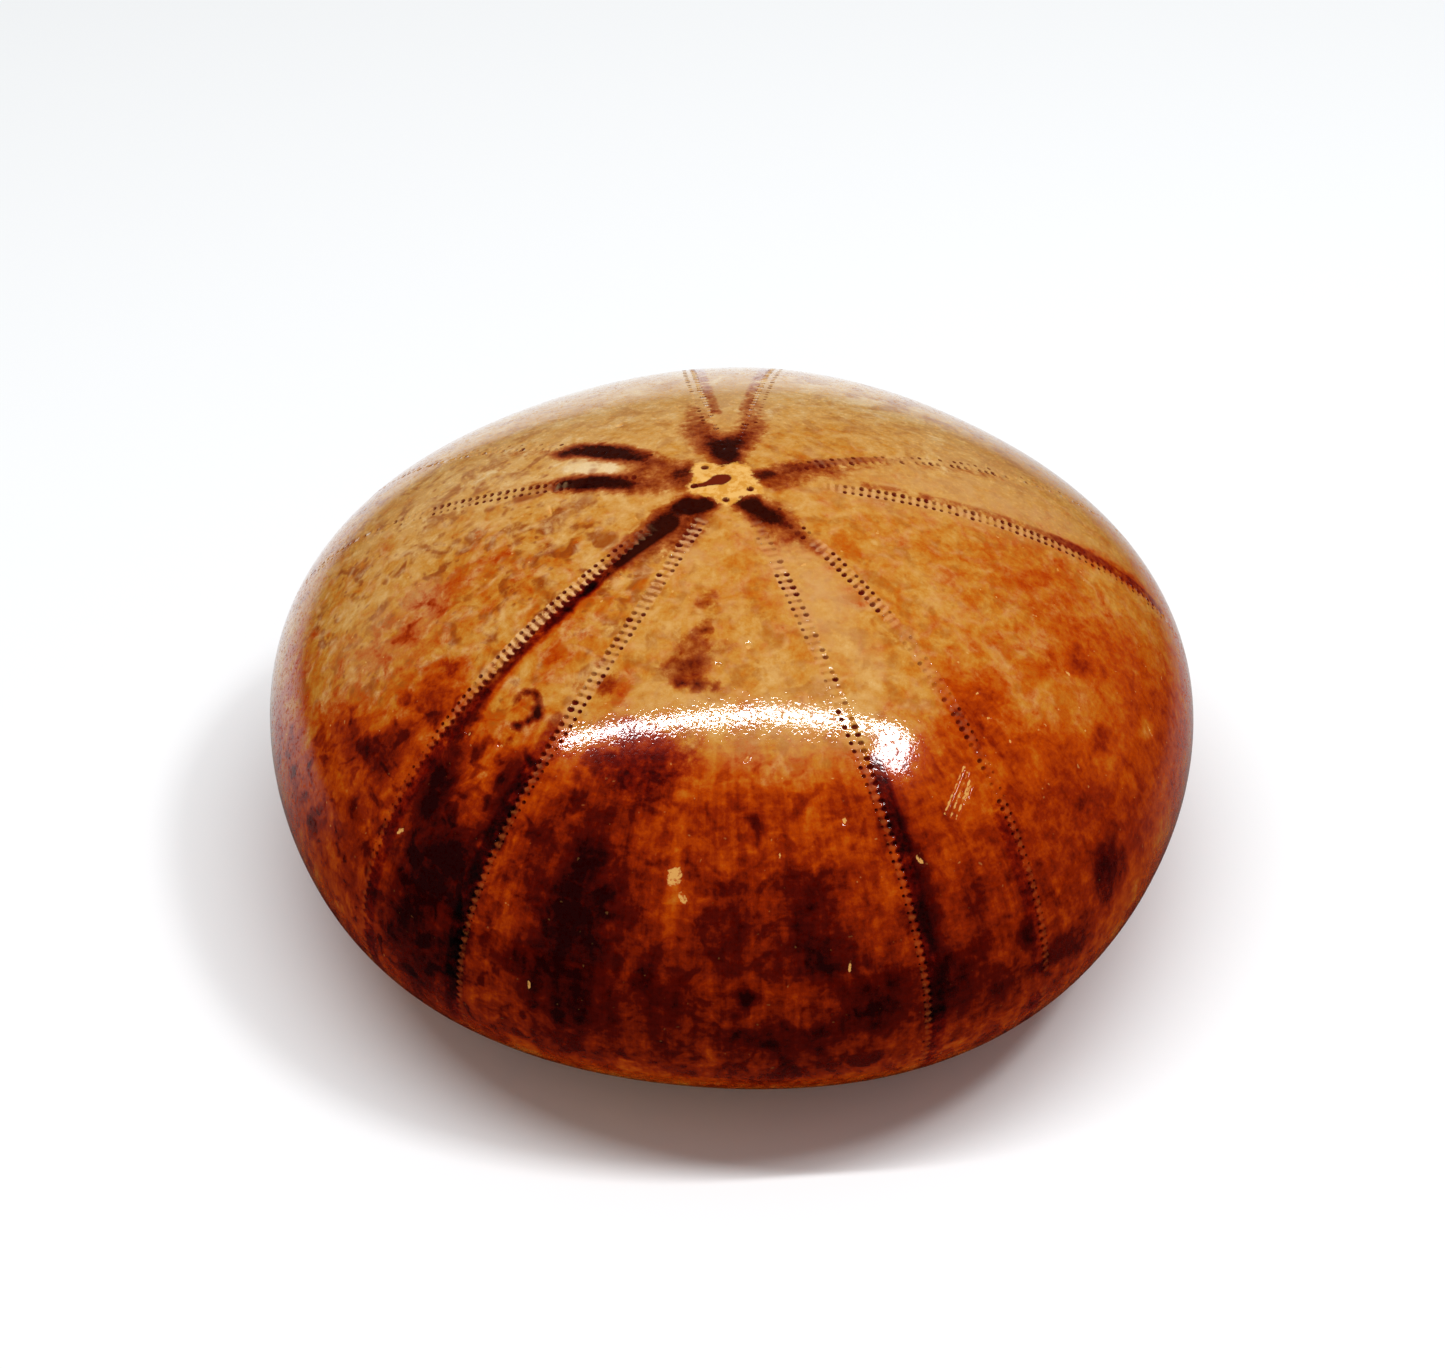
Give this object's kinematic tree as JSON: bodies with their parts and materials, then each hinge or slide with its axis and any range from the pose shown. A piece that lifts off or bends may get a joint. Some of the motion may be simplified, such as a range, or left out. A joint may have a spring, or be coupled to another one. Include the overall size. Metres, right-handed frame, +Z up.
{
  "type": "fossil sea urchin",
  "caption": "Polished fossil sea urchin: a domed stone shell with five petals of paired pores, a mouth underneath and a small flat ring to rest on.",
  "frame": {"origin": "under the middle of the shell's outline, on the plane of the flat ring that it rests on", "axes": "+Z up through the apex; the front petal and the vent behind it lie in the shell's own plane of symmetry, 50 degrees from +X towards +Y; -Y is the side between the two front petals"},
  "size_m": [0.0806, 0.0798, 0.0412],
  "materials": {
    "polished_calcite": "polished honey to red-brown calcite, glossy"
  },
  "bodies": {
    "root": {"fossil_sea_urchin": "polished_calcite"}
  },
  "joints": []
}
